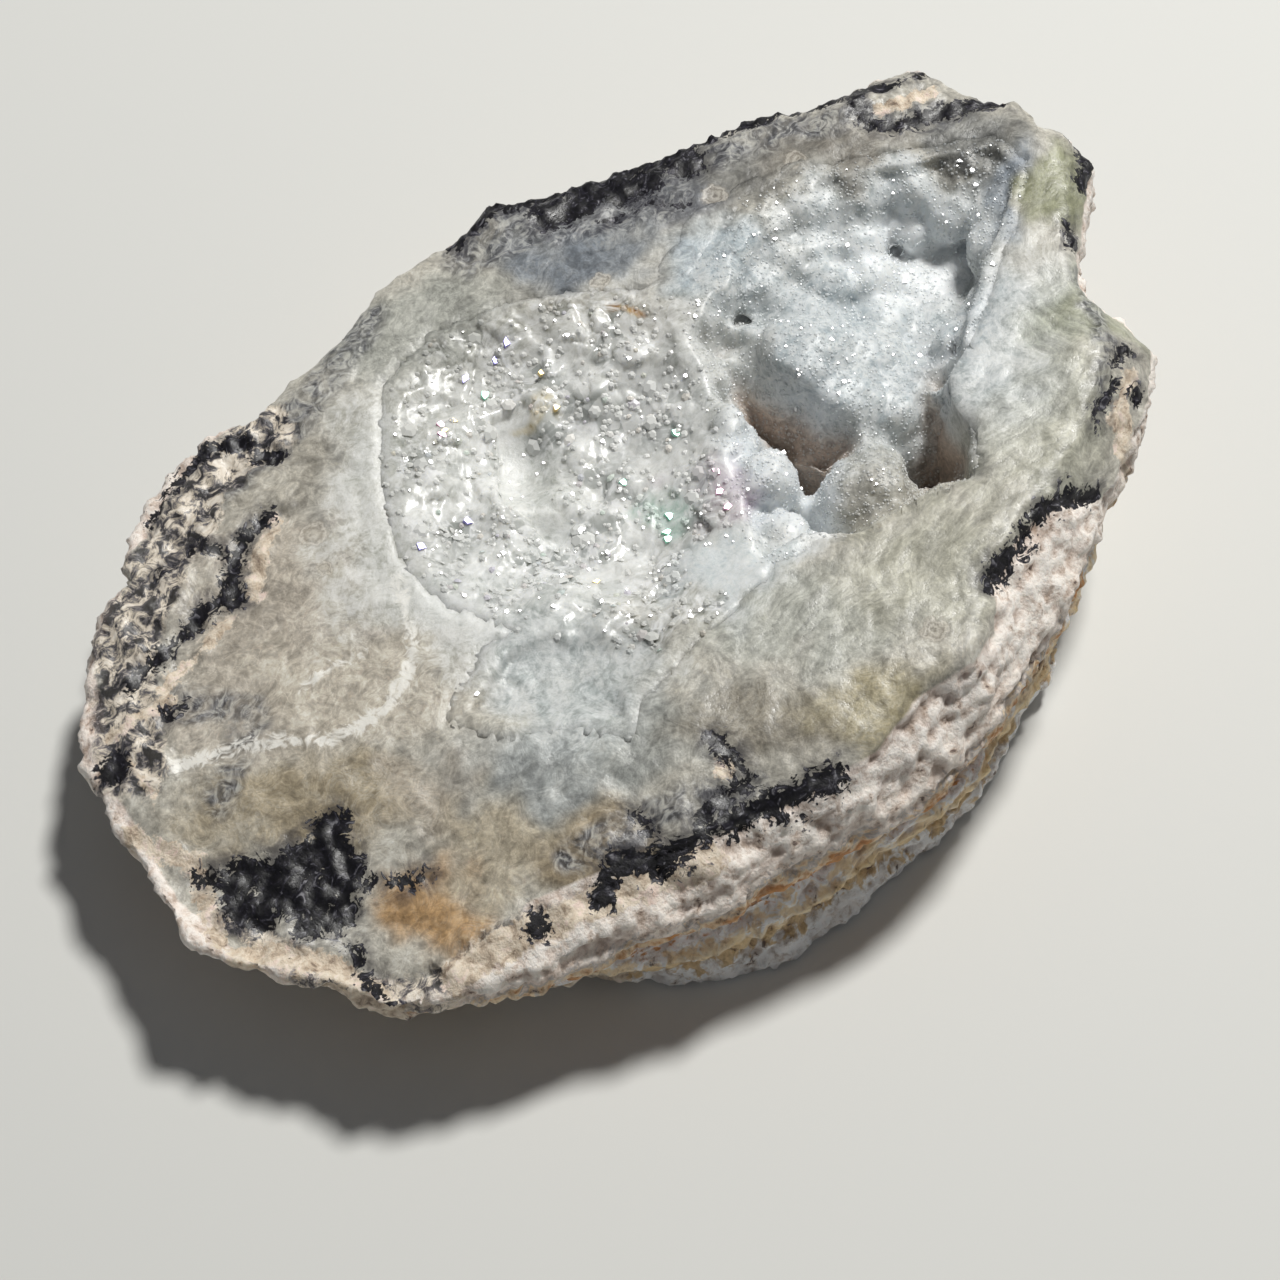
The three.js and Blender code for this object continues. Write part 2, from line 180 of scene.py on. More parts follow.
def add(tree, kind, inputs, out=None, stops=None, **settings):  # a node with its settings and links
    node = tree.nodes.new(kind)
    for name, value in settings.items():
        setattr(node, name, value)
    for key, value in inputs.items():
        socket = node.inputs[key] if isinstance(key, int) else [s for s in node.inputs if s.name == key and s.enabled][0]
        if isinstance(value, bpy.types.NodeSocket):
            tree.links.new(value, socket)
        elif isinstance(value, str) and value.startswith("#"):
            socket.default_value = (*colour(value), 1)
        else:
            socket.default_value = value
    for n, (place, shade) in enumerate(stops or []):
        element = node.color_ramp.elements[n] if n < 2 else node.color_ramp.elements.new(place)
        element.position = place
        element.color = (*colour(shade), 1) if isinstance(shade, str) else (shade, shade, shade, 1)
    return next((s for s in node.outputs if s.enabled and out in (None, s.name)), None)


def newMaterial(name, **values):
    material = bpy.data.materials.new(name)
    material.use_nodes = True
    tree = material.node_tree
    shader = tree.nodes["Principled BSDF"]
    for label, value in values.items():
        socket = shader.inputs[label.replace("_", " ")]
        socket.default_value = (*colour(value), 1) if isinstance(value, str) else value
    place = add(tree, "ShaderNodeTexCoord", {}, out="Object")
    inMm = add(tree, "ShaderNodeVectorMath", {0: place, "Scale": 1000.0}, operation="SCALE")
    return material, tree, shader, inMm


# ---- floor, light and camera
floorLook = {"size": 3000, "tint": "#D7D7D4", "roughness": 0.7}
keyLight = {"towards": (0.524, 0.134, 1.0), "distance": 700, "size": 110, "power": 5.0, "tint": "#FFFEFA"}
room = {"tint": "#EEF2F8", "strength": 0.12}
camera = {"azimuth": -42, "elevation": 60, "lens": 80, "aim": (-9.1, -9.5, 18), "distance": 218.8}


def makeStage():
    bpy.ops.mesh.primitive_plane_add(size=floorLook["size"] * mm)
    floor = bpy.context.object
    floor.name = "floor"
    floor.data.materials.append(newMaterial("pale_matt_paper", Base_Color=floorLook["tint"], Roughness=floorLook["roughness"])[0])
    lamp = bpy.data.lights.new("key_light", "AREA")
    lamp.shape = "DISK"
    lamp.size = keyLight["size"] * mm
    lamp.energy = keyLight["power"]
    lamp.color = colour(keyLight["tint"])
    light = linked("key_light", lamp)
    towards = Vector(keyLight["towards"]).normalized()
    light.location = towards * keyLight["distance"] * mm
    light.rotation_mode = "QUATERNION"
    light.rotation_quaternion = (-towards).to_track_quat("-Z", "Y")
    world = bpy.data.worlds.new("soft_room")
    world.use_nodes = True
    background = world.node_tree.nodes["Background"]
    background.inputs["Color"].default_value = (*colour(room["tint"]), 1)
    background.inputs["Strength"].default_value = room["strength"]
    scene.world = world
    scene.view_settings.view_transform = "Standard"
    return floor


def makeCamera():
    lens = bpy.data.cameras.new("camera")
    lens.lens = camera["lens"]
    lens.sensor_width = 36
    lens.clip_start = 0.005
    turn, lift = math.radians(camera["azimuth"]), math.radians(camera["elevation"])
    back = Vector((math.sin(turn) * math.cos(lift), -math.cos(turn) * math.cos(lift), math.sin(lift)))
    seeing = linked("camera", lens)
    seeing.location = (Vector(camera["aim"]) + back * camera["distance"]) * mm
    seeing.rotation_mode = "QUATERNION"
    seeing.rotation_quaternion = (-back).to_track_quat("-Z", "Y")
    scene.camera = seeing


makeStage()
makeCamera()
print("stage and camera made")

# ---- colours and marks that run over the stone and the crystals alike
ground = "#B4B0A6"
patches = [
    {"name": "greige left", "at": (-25, 13), "half": (12, 16), "tint": "#B3AA9D"},
    {"name": "upper left", "at": (-19.5, 24), "half": (7, 5.5), "tint": "#A6A196"},
    {"name": "milky left of the crystals", "at": (-13, 13), "half": (9, 16), "tint": "#D2D3CF"},
    {"name": "grey top left", "at": (-1, 26), "half": (9, 6.5), "tint": "#999A93"},
    {"name": "warm beige", "at": (-28.5, 5), "half": (10, 5.5), "tint": "#BBB3A5"},
    {"name": "pale left", "at": (-36, 9), "half": (5, 5), "tint": "#AFA79B"},
    {"name": "olive", "at": (-36, -1), "half": (11.5, 4.5), "tint": "#9A8D75"},
    {"name": "mauve", "at": (-29, -8), "half": (5, 4), "tint": "#A79D8F"},
    {"name": "orange tan", "at": (-34, -15), "half": (5, 4), "tint": "#AE8A5C"},
    {"name": "olive middle", "at": (-26, -15), "half": (7, 5), "tint": "#B3A893"},
    {"name": "blue front", "at": (-20, -13), "half": (8.5, 4), "tint": "#9CA0A0"},
    {"name": "grey front", "at": (-14, -17), "half": (7, 3.5), "tint": "#999B97"},
    {"name": "olive grey", "at": (-23, -20.5), "half": (4.6, 4.4), "tint": "#9A8A70"},
    {"name": "olive right", "at": (-6.6, -22.5), "half": (8, 3.5), "tint": "#857E71"},
    {"name": "tan right", "at": (0, -27), "half": (6, 4), "tint": "#9C9275"},
    {"name": "grey green", "at": (0.4, -17), "half": (10, 5), "tint": "#A8A9A1"},
    {"name": "green grey", "at": (11, -20.5), "half": (8, 7), "tint": "#ABA99B"},
    {"name": "green beige", "at": (26, -18.5), "half": (6, 10), "tint": "#A7A698"},
    {"name": "green", "at": (36, -13), "half": (6, 5), "tint": "#92947E"},
    {"name": "yellow", "at": (44.4, -2.4), "half": (4, 4), "tint": "#8A8C70"},
    {"name": "blue dark end", "at": (40, 0.5), "half": (2.6, 5), "tint": "#8C95A0"},
    {"name": "grey end", "at": (43, 6.8), "half": (5, 3.4), "tint": "#5E5F5E"},
    {"name": "grey brown", "at": (34, 14.6), "half": (7, 3.4), "tint": "#77726A"},
    {"name": "grey top", "at": (26, 19.5), "half": (7, 3.2), "tint": "#706F6B"},
    {"name": "dark grey blue", "at": (19, 21.5), "half": (7, 3.5), "tint": "#74777D"},
    {"name": "grey upper", "at": (11, 26), "half": (5.5, 3.5), "tint": "#888C90"},
    {"name": "light blue", "at": (12, 21.5), "half": (8, 3), "tint": "#7C8289"},
    {"name": "pale blue slope", "at": (20, 13), "half": (5, 4), "tint": "#B2BCC2"},
    {"name": "crystals", "at": (0, 6), "half": (14, 17), "tint": "#EAEBE9"},
    {"name": "pale front of the crystals", "at": (-12, 0), "half": (9, 9.5), "tint": "#DCDEDC"},
    {"name": "pocket", "at": (24, -1), "half": (15, 14), "tint": "#CAD1D5"},
    # the far wall's own pale grey, lifted toward white as painted light against the shade of the deep pit
    {"name": "far wall, lightened against its shade", "at": (33, 7), "half": (9, 4), "tint": "#D6DBDD"},
    {"name": "blue slab", "at": (0, -9.5), "half": (5, 4.5), "tint": "#DDE3E5"},
    {"name": "blue shelf", "at": (-15, -8), "half": (8, 6), "tint": "#BFC4C4"},
    # painted light: the open end of the pocket over the lumps is painted near white to lift the shade of the pit there
    {"name": "open end of the pocket", "at": (32.5, 3.5), "half": (7, 4), "tint": "#EDF1F3"},
    {"name": "grey blue over the crystals", "at": (11.5, 22.8), "half": (7, 2.3), "tint": "#70767D"},
    {"name": "free lumps", "at": (9.6, -6), "half": (5.5, 8), "tint": "#E2E7EB"},
    {"name": "violet", "at": (5, -3.6), "half": (3, 3.4), "tint": "#DCCCDA", "strength": 0.6},
    {"name": "mint", "at": (0.6, -1.4), "half": (2.4, 2.4), "tint": "#BEDCD0", "strength": 0.6},
    {"name": "grey pane", "at": (-3.4, 9), "half": (3.6, 5.4), "tint": "#C6C8C4", "strength": 0.8},
    {"name": "yellow grains", "at": (1, 13.4), "half": (2.6, 1.2), "tint": "#D8C9A0", "strength": 0.7},
    {"name": "amber", "at": (11.4, 15.4), "half": (2.6, 0.8), "tint": "#C79F62", "strength": 0.9},
]
darkStrokes = {
    "ring at the far end": ([(40.2, 16.9), (38.4, 16.2), (37.6, 13.8), (38.4, 12.3), (40.4, 10.9), (42.8, 9.7), (47, 7.6)], 0.85),
    "its far side": ([(39.9, 16.9), (41.7, 15.7), (43.3, 14.9), (45, 14.3)], 0.6),
    "far edge": ([(26.5, 23.6), (29, 22.5), (32.6, 20.9), (36, 19.2), (39, 17.8)], 1.0),
    "upper edge": ([(7, 32.4), (9.6, 32.2), (11.6, 31.2), (15, 29), (18.4, 27.6), (21.8, 26), (24.2, 24), (25, 22)], 1.7),
    "under the upper edge": ([(16, 23.4), (20, 21.7), (21.7, 18.8)], 0.3),
    "upper edge, inner half": ([(13.4, 27.2), (18, 25.4), (21.6, 23.4)], 1.5),
    "knob": ([(49.2, 0.6), (48.8, -1), (47.4, -2.8), (46, -3.6)], 1.1),
    "below the knob": ([(41, -6.3), (40, -8.2)], 0.8),
    "right edge": ([(36.1, -17.4), (34.1, -18), (32.1, -19.5), (30, -20), (28.7, -20.6)], 0.45),
    "right chips": ([(34, -20.4), (35.3, -21.9), (34.2, -23.2)], 0.7),
    "diagonal": ([(27.7, -25.1), (25.3, -24.5), (22.8, -23.7), (20.2, -23.6), (17.8, -24.3), (15.5, -24.7), (12.8, -25.2)], 0.8),
    "near band": ([(-24.7, -22.5), (-22.8, -21.6), (-21.1, -22.8), (-19.8, -24.1), (-17.5, -24.4), (-15, -25), (-12.1, -26.1), (-9.3, -27.4), (-5.9, -28.6)], 1.0),
    "near band's spur": ([(-18.8, -19.8), (-19.2, -21.8), (-19.5, -23.8)], 0.5),
    "round the cream spot": ([(-11, -20.1), (-10.9, -22.1), (-11.5, -23.9), (-13.6, -23.4), (-16, -23.8)], 0.7),
    "pit": ([(-29.7, -21.2), (-29.2, -20.6)], 0.9),
    "left patch": ([(-43.6, -1.6), (-41, -3.4), (-43.6, -5.2), (-44.6, -3.4)], 1.5),
    "left patch, right half": ([(-40, -4), (-37.6, -4.6), (-36, -4.2), (-37.4, -7.4), (-40.4, -7), (-41.6, -5.6)], 1.7),
    "left patch, foot": ([(-37.4, -8), (-39.4, -9.6), (-42, -8.4)], 1.2),
    "left patch, tail": ([(-36.4, -9.1), (-34.5, -11), (-33.1, -11.8)], 0.6),
    "crack": ([(-40.3, -12.1), (-41.2, -14.5), (-41.4, -17.4), (-40.6, -19)], 0.7),
    "hook": ([(-21.8, 21.4), (-23.7, 21.4), (-26, 20.4), (-27.7, 18.8), (-28.3, 16.9), (-30.3, 18.2), (-33.7, 17.9), (-36.4, 17.5), (-39.4, 17)], 0.75),
    "over the hook": ([(-26.3, 20), (-27.4, 23.3), (-29.4, 23.6), (-31.4, 23.5)], 0.5),
    "small violet": ([(-38.9, 12.9), (-37, 12.7)], 0.5),
    "upper left edge": ([(-18.2, 28.3), (-20.5, 30.2), (-24, 30.4), (-27, 29.3), (-28.7, 28.4)], 0.6),
    "dot": ([(-18.6, 26.5), (-17.7, 25.6)], 0.9),
    "left corner": ([(-43.8, 12.9), (-44.6, 11.2), (-45.4, 12.8)], 0.8),
    "left patch, up the edge": ([(-43.6, -1.6), (-45.4, 0.4)], 0.8),
}
smokeStrokes = {  # thinner stains: grey curls through the agate
    "under the upper edge": ([(7, 30), (12, 27.6), (17, 24.6), (21, 21.6)], 3.2),
    "far edge": ([(27, 20.6), (33, 18), (38, 15), (42, 9.6)], 1.8),
    "upper left": ([(-26, 26), (-19, 26.6), (-11, 28), (-4, 30)], 2.2),
    "left": ([(-37, 13), (-34, 8), (-40, 4)], 2.0),
    "near band": ([(-24, -19.4), (-18, -21), (-12, -24)], 2.0),
    "right": ([(38, -10), (35, -16), (31, -19)], 1.4),
}
eyes = [(-20.4, 17.1, 1.4), (-21.9, 13.8, 0.8), (31.1, 15.6, 1.1), (24.1, 18, 1.3), (11.8, 18.7, 1.0), (6.7, -25.3, 1.2)]
chalkStrokes = {
    "far end": ([(39.6, 14), (41.4, 13), (43.3, 12.2)], 0.9),
    "right patch": ([(31.8, -21.6), (30, -23)], 0.9),
    "right": ([(34.6, -19.2), (32.6, -20.6), (30.4, -21.4)], 0.7),
    "cream spot": ([(-11.9, -22.2), (-12.2, -22.4)], 0.9),
    "streak": ([(-30.1, 16), (-32.8, 15.6), (-35.6, 15.3), (-37.8, 15)], 0.7),
    "in the hook": ([(-21.8, 20.6), (-24.6, 18.8), (-27.2, 16.4)], 0.9),
    "line": ([(-37.8, 13.6), (-40.3, 14.3), (-43, 14.8)], 0.6),
    "thin line": ([(-43.3, 12.4), (-43.7, 9.7), (-44.1, 6.9)], 0.25),
    "left edge": ([(-46.9, 6.8), (-46.2, 4.2), (-44.9, 2), (-46, -1.2), (-47.2, -4.7)], 0.9),
    "lower left edge": ([(-47, -6.5), (-45, -8.6), (-43.1, -11), (-42, -13.6), (-41.4, -17.6)], 1.2),
    "near edge": ([(-36.6, -19.4), (-31, -20.6), (-27, -22), (-22.4, -23.6), (-17, -26)], 1.3),
}
veinStrokes = {
    "white seam": ([(-41.6, 8.7), (-38.9, 7.7), (-36.1, 6.1), (-33.5, 3.7), (-31.3, 1.5), (-28.8, 0.8), (-26.6, 0.4), (-23.9, 1.3), (-21.8, 2.9), (-19.8, 6.2), (-18.5, 8.7)], 0.7),
    "its branch": ([(-30.1, 6.7), (-26.3, 6.5), (-24.1, 5.4)], 0.5),
}
mixedStrokes = {  # cream, olive and black grains all through each other
    "left rim": ([(-17, 28.4), (-23, 28), (-30, 24.6), (-37, 20.6), (-41, 15.4), (-43.6, 11)], 3.0),
    "lower left rim": ([(-46, -4), (-43.6, -11), (-41, -17), (-36, -19.4)], 1.5),
    "near rim": ([(-38, -19), (-30, -20.4), (-24, -23)], 1.4),
}
stripedStrokes = {"right band": ([(1.7, -16), (9.3, -19), (19.6, -19.5), (28, -17.7), (35.6, -13), (42, -3)], 6.0)}


# lines of the pocket's deep crevices: they cut the trenches in the crust, and the paint darkens them as painted shade
creviceStrokes = {
    "under the big lump": ([(15.6, 7), (14.4, 3.6), (14.4, 0.9), (14.8, -3.1), (15.6, -6)], 0),
    "right corner": ([(25.4, -8.6), (23.6, -12.6), (20.8, -13)], 0),
}


def strokeField(points, strokes):  # millimetres in from the edge of the nearest stroke
    return np.maximum.reduce([half - lineDistance(points, line) for line, half in strokes.values()])


def paintMesh(mesh, points):
    deep = planeHeight(points[:, 0], points[:, 1]) - points[:, 2]
    sway = np.stack([noiseAt(points, 5) + 0.5 * noiseAt(points, 1.8, 7), noiseAt(points, 5, 31) + 0.5 * noiseAt(points, 1.8, 53)], axis=1)
    across = np.array([math.cos(pictureLevel), math.sin(pictureLevel)])
    up = np.array([-across[1], across[0]])
    tint = np.tile(colour(ground), (len(points), 1))
    for patch in patches:
        away = points[:, :2] + 3.0 * sway - patch["at"]
        ring = np.hypot(away @ across / patch["half"][0], away @ up / patch["half"][1])
        weight = (1 - smoothStep(0.45, 1.25, ring)) * patch.get("strength", 0.9)
        tint += (np.array(colour(patch["tint"])) - tint) * weight[:, None]
    # painted shade: the deep crevices are darkened to a warm grey-brown, more where they are deeper
    creviceShade = smoothStep(-3.6, -1.2, strokeField(points, creviceStrokes)) * smoothStep(3.0, 6.0, deep)
    tint += (np.array(colour("#AE9C8E")) - tint) * creviceShade[:, None]
    rgba = np.ones((len(points), 4), np.float32)
    rgba[:, :3] = tint
    mesh.attributes.new("paint", "FLOAT_COLOR", "POINT").data.foreach_set("color", rgba.ravel())


def marksOf(points):
    rough, fine = noiseAt(points, 2.2), noiseAt(points, 0.9, 11)
    return {
        "dark": strokeField(points, darkStrokes) + 0.5 * rough + 0.35 * fine,
        "chalk": strokeField(points, chalkStrokes) + 0.4 * rough + 0.3 * fine,
        "vein": strokeField(points, veinStrokes) + 0.35 * rough,
        "mixed": strokeField(points, mixedStrokes) + 0.8 * rough + 0.4 * fine,
        "smoke": strokeField(points, smokeStrokes) + 0.9 * rough,
        "striped": smoothStep(0, 3.5, strokeField(points, stripedStrokes)),
        "inward": insideBy(points, edgeOfFace),
    }


# ---- the stone
stoneBuild = {"voxel": 0.435, "smoothing": 2, "gapFill": 0.55, "fineLumps": 0.16, "chalkLumps": 0.62, "darkLumps": 0.6, "layers": 0.45, "rimChips": 0.8}

upperEdge = {"line": [(12, 30.6), (16, 28.6), (21, 25.8), (26, 22.8), (32, 20)], "out": (0.36, 0.7)}


def shapeStone():
    piece = remeshedCopy("stone", "stone_half", stoneBuild)
    mesh = piece.data
    points, normals = readPoints(mesh), readNormals(mesh)
    marks = marksOf(points)
    hollow = np.maximum.reduce([insideBy(points, mouth) for mouth in (pocketMouth, crystalMouth, shelfMouth)])
    depth = planeHeight(points[:, 0], points[:, 1]) - points[:, 2]
    rind = np.maximum(smoothStep(0.3, -0.7, marks["inward"]), smoothStep(1.2, 2.2, depth) * smoothStep(0.5, 0.2, normals[:, 2]) * (hollow < -1.5))
    rind = np.maximum(rind, smoothStep(0.1, -0.2, normals[:, 2]))
    marks["dark"] -= 1.5 * np.maximum(depth - 1.2, 0) * smoothStep(0.65, 0.35, normals[:, 2])  # stains stay near the face
    inHollow = (hollow > -0.8) & (depth > 0.3) & (rind < 0.5)
    # lumps: fine on the agate, coarse on the chalky rind, bubbly where it is dark, in layers on the side
    bubbles = 0.5 - cellsAt(points, 1.1)
    chunks = noiseAt(points, 1.5, 40) + 0.7 * noiseAt(points, 0.75, 23)
    sway = 0.5 * np.stack([noiseAt(points, 0.9, n) for n in (80, 90, 100)], axis=1)
    grains = 0.5 - cellsAt(points + 70 + sway, 1.25)
    upright = rind * smoothStep(0.85, 0.3, np.abs(normals[:, 2]))
    layers = noiseAt(points * (0.16, 0.16, 1.25), 1.0, 3) + 0.5 * noiseAt(points * (0.3, 0.3, 2.6), 1.0, 9)
    isDark, isChalk, isMixed = [smoothStep(-0.5, 0.3, marks[name]) for name in ("dark", "chalk", "mixed")]
    push = stoneBuild["fineLumps"] * (noiseAt(points, 2.2, 5) + noiseAt(points, 1.0, 8)) * (1 - rind) * smoothStep(-0.2, -2.5, hollow)
    push += stoneBuild["chalkLumps"] * (0.7 * chunks + 0.9 * grains) * np.maximum.reduce([isChalk, isMixed, 0.9 * rind])
    push += stoneBuild["rimChips"] * noiseAt(points, 3.2, 60) * np.maximum(isMixed, 0.5 * rind)
    push += stoneBuild["darkLumps"] * (bubbles - 0.3) * isDark
    push += stoneBuild["layers"] * layers * upright
    push = np.where(inHollow, stoneBuild["gapFill"], push)
    push[points[:, 2] < 0.3] = 0
    moved = points + normals * push[:, None]
    moved[:, :2] += smoothStep(4.0, 1.0, lineDistance(points, upperEdge["line"]))[:, None] * upperEdge["out"]
    moved[:, 2] = np.maximum(moved[:, 2], 0)
    writePoints(mesh, moved)
    marks["rind"] = rind
    marks["level"] = points[:, 2] / planeHeight(points[:, 0], points[:, 1])
    # painted shade: where the chalky lumps leave hollows, the rind's colour is darkened
    marks["creviceShade"] = smoothStep(-0.2, -0.6, 0.7 * chunks + 0.9 * grains)
    storeNumbers(mesh, marks)
    paintMesh(mesh, points)
    print("stone", len(mesh.polygons), "faces")
    return piece


def agateMaterial(name, onStone):
    # agate: waxy, light goes a little way in, cloudy with curled lines; its rind: dull chalk in layers
    material, tree, shader, inMm = newMaterial(
        name, IOR=1.54, Subsurface_Weight=0.35 if onStone else 0.75, Subsurface_Radius=(1.0, 0.97, 0.9), Subsurface_Scale=0.0014 if onStone else 0.0022)
    mark = {word: add(tree, "ShaderNodeAttribute", {}, out="Color" if word == "paint" else "Fac", attribute_name=word)
            for word in ("paint", "dark", "chalk", "vein", "mixed", "smoke", "striped", "inward", "rind", "level", "creviceShade", "broken")}

    def noiseNode(vector, scale, detail, roughness, distortion):
        return add(tree, "ShaderNodeTexNoise", {
            "Vector": vector, "Scale": scale, "Detail": detail, "Roughness": roughness, "Distortion": distortion})

    def mix(factor, a, b, blend="MIX"):
        return add(tree, "ShaderNodeMix", {"Factor": factor, "A": a, "B": b}, data_type="RGBA", blend_type=blend)

    def ramp(factor, stops):
        return add(tree, "ShaderNodeValToRGB", {"Fac": factor}, stops=stops)

    def sums(a, b, operation="ADD", clamp=False):
        return add(tree, "ShaderNodeMath", {0: a, 1: b}, operation=operation, use_clamp=clamp)

    cloud = noiseNode(inMm, 0.22, 6.0, 0.62, 1.0)
    speck = noiseNode(inMm, 1.5, 5.0, 0.65, 0.0)
    plume = ramp(noiseNode(inMm, 0.34, 4.0, 0.6, 1.6), [(0.36, 0.46), (0.66, 0.42), (0.43, 0.6), (0.48, 0.42), (0.54, 0.64), (0.6, 0.48)])
    curls = noiseNode(inMm, 0.34, 3.0, 0.6, 1.9)
    curlLines = ramp(curls, [(0.34, 0.0), (0.66, 0.0), (0.42, 0.9), (0.49, 0.1), (0.54, 0.8), (0.6, 0.1)])
    fleck = noiseNode(inMm, 0.75, 2.5, 0.55, 2.6)
    swirl = noiseNode(inMm, 0.4, 2.5, 0.55, 2.4)
    # growth lines follow the edge of the face
    spread = add(tree, "ShaderNodeSeparateXYZ", {0: inMm})
    across = sums(sums(mark["inward"], sums(cloud, 2.6, "MULTIPLY")), 1.7, "MULTIPLY")
    ribbon = add(tree, "ShaderNodeCombineXYZ", {0: across, 1: sums(spread, 0.2, "MULTIPLY")})
    stripes = noiseNode(ribbon, 1.0, 5.0, 0.72, 0.6)
    # in the overlays 0.5 leaves the colour as it is
    body = mix(0.6, mark["paint"], ramp(cloud, [(0.3, 0.34), (0.7, 0.68)]), "OVERLAY")
    body = mix(0.6, body, plume, "OVERLAY")
    body = mix(0.3, body, ramp(speck, [(0.32, 0.28), (0.68, 0.72)]), "OVERLAY")
    calm = sums(1.0, sums(mark["striped"], 0.75, "MULTIPLY"), "SUBTRACT")
    body = mix(sums(calm, 0.3, "MULTIPLY"), body, ramp(fleck, [(0.32, 0.28), (0.7, 0.74), (0.46, 0.43), (0.55, 0.63)]), "OVERLAY")
    body = mix(sums(calm, 0.6, "MULTIPLY"), body, ramp(swirl, [(0.32, 0.3), (0.7, 0.7), (0.45, 0.42), (0.52, 0.62), (0.57, 0.5)]), "OVERLAY")
    stripeAmount = sums(sums(mark["striped"], 0.4, "MULTIPLY"), 0.1)
    body = mix(stripeAmount, body, ramp(stripes, [(0.35, 0.2), (0.65, 0.8)]), "OVERLAY")
    body = mix(sums(curlLines, ramp(cloud, [(0.42, 0.0), (0.6, 0.3)]), "MULTIPLY"), body, "#DAD8D0")
    curlTint = ramp(fleck, [(0.36, "#303138"), (0.66, "#BDBDB8"), (0.45, "#595A5E"), (0.53, "#85868A"), (0.58, "#A3A3A0")])
    body = mix(sums(ramp(mark["smoke"], [(0.0, 0.0), (1.0, 1.0)]), ramp(curls, [(0.36, 0.25), (0.6, 0.85)]), "MULTIPLY"), body, curlTint)
    veinEdge = sums(mark["vein"], sums(sums(fleck, 0.5, "SUBTRACT"), 2.4, "MULTIPLY"))
    body = mix(sums(ramp(veinEdge, [(0.0, 0.0), (0.5, 1.0)]), 0.8, "MULTIPLY"), body, "#F0EEE8")
    dull = 0.0
    if onStone:
        for x, y, reach in eyes:  # small agate eyes, each a few rings
            away = add(tree, "ShaderNodeVectorMath", {0: inMm, 1: (x, y, planeHeight(x, y))}, out="Value", operation="DISTANCE")
            away = sums(sums(away, sums(sums(speck, 0.5, "SUBTRACT"), 1.6, "MULTIPLY")), reach, "DIVIDE")
            ring = ramp(away, [(0.0, "#6F6557"), (1.0, "#8F897E"), (0.25, "#D6CFC2"), (0.5, "#857B6D"), (0.72, "#DDD6CA"), (0.86, "#8A8276")])
            body = mix(sums(ramp(away, [(0.8, 1.0), (1.0, 0.0)]), 0.55, "MULTIPLY"), body, ring)
        fray = sums(sums(speck, 0.5, "SUBTRACT"), 2.2, "MULTIPLY")
        # rind: layers by height on the side, from the cream ledge down to the grey foot; the layers' own colours are
        # lifted near white, painted light that makes up for the shade on the undercut side and the foot
        level = sums(mark["level"], sums(sums(cloud, 0.5, "SUBTRACT"), 0.34, "MULTIPLY"))
        level = sums(level, sums(sums(swirl, 0.5, "SUBTRACT"), 0.3, "MULTIPLY"))
        layers = ramp(level, [
            (0.0, "#FFFAF6"), (1.0, "#FFF0E6"), (0.12, "#FFFFFF"), (0.16, "#D8BE98"), (0.24, "#F4D8A8"), (0.33, "#FCE8CA"),
            (0.37, "#FFFFFF"), (0.41, "#FFF8F6"), (0.44, "#D6A06A"), (0.54, "#C48850"), (0.6, "#F8E0BE"),
            (0.64, "#CFC8C4"), (0.67, "#FFF0E4"), (0.84, "#FFF6EE")])
        blotch = noiseNode(inMm, 0.75, 4.0, 0.65, 0.5)
        rind = mix(0.8, layers, ramp(blotch, [(0.3, "#B09C88"), (0.48, "#FFFFFF")]), "MULTIPLY")
        rind = mix(0.6, rind, ramp(speck, [(0.32, "#B4A9A0"), (0.5, "#FFFFFF")]), "MULTIPLY")
        # painted shade: brown in the hollows between the chalky lumps
        rind = mix(sums(mark["creviceShade"], 0.5, "MULTIPLY"), rind, "#9A7C64")
        rind = mix(sums(ramp(blotch, [(0.31, 1.0), (0.35, 0.0)]), 0.7, "MULTIPLY"), rind, "#43343A")
        body = mix(ramp(mark["rind"], [(0.35, 0.0), (0.65, 1.0)]), body, rind)
        mottle = noiseNode(inMm, 0.7, 5.0, 0.72, 0.8)
        mixedTint = ramp(mottle, [
            (0.38, "#0E0C12"), (0.66, "#F8F0E4"), (0.44, "#25232D"), (0.47, "#6F6B70"), (0.51, "#A9A092"), (0.55, "#E2D6C6")])
        body = mix(ramp(sums(mark["mixed"], fray), [(0.0, 0.0), (0.6, 0.9)]), body, mixedTint)
        isChalk = ramp(sums(mark["chalk"], fray), [(0.0, 0.0), (0.25, 1.0)])
        body = mix(isChalk, body, ramp(blotch, [(0.32, "#8E7C6C"), (0.64, "#F3DFD3"), (0.42, "#CFBDA8"), (0.54, "#E9DCC9")]))
        # manganese stains: nearly black with a violet cast, thinning out as dark curls
        stain = ramp(fleck, [(0.36, "#050408"), (0.76, "#8C8B90"), (0.54, "#100E15"), (0.62, "#2B2933")])
        halo = sums(ramp(sums(mark["dark"], 1.3), [(0.0, 0.0), (1.0, 1.0)]), sums(1.0, mark["rind"], "SUBTRACT"), "MULTIPLY")
        body = mix(sums(halo, ramp(curls, [(0.42, 0.0), (0.6, 0.6)]), "MULTIPLY"), body, "#3B3A42")
        body = mix(ramp(sums(mark["dark"], sums(fray, sums(sums(fleck, 0.5, "SUBTRACT"), 3.0, "MULTIPLY"))), [(0.0, 0.0), (0.18, 1.0)]), body, stain)
        dull = sums(mark["rind"], isChalk, "MAXIMUM", clamp=True)
    else:
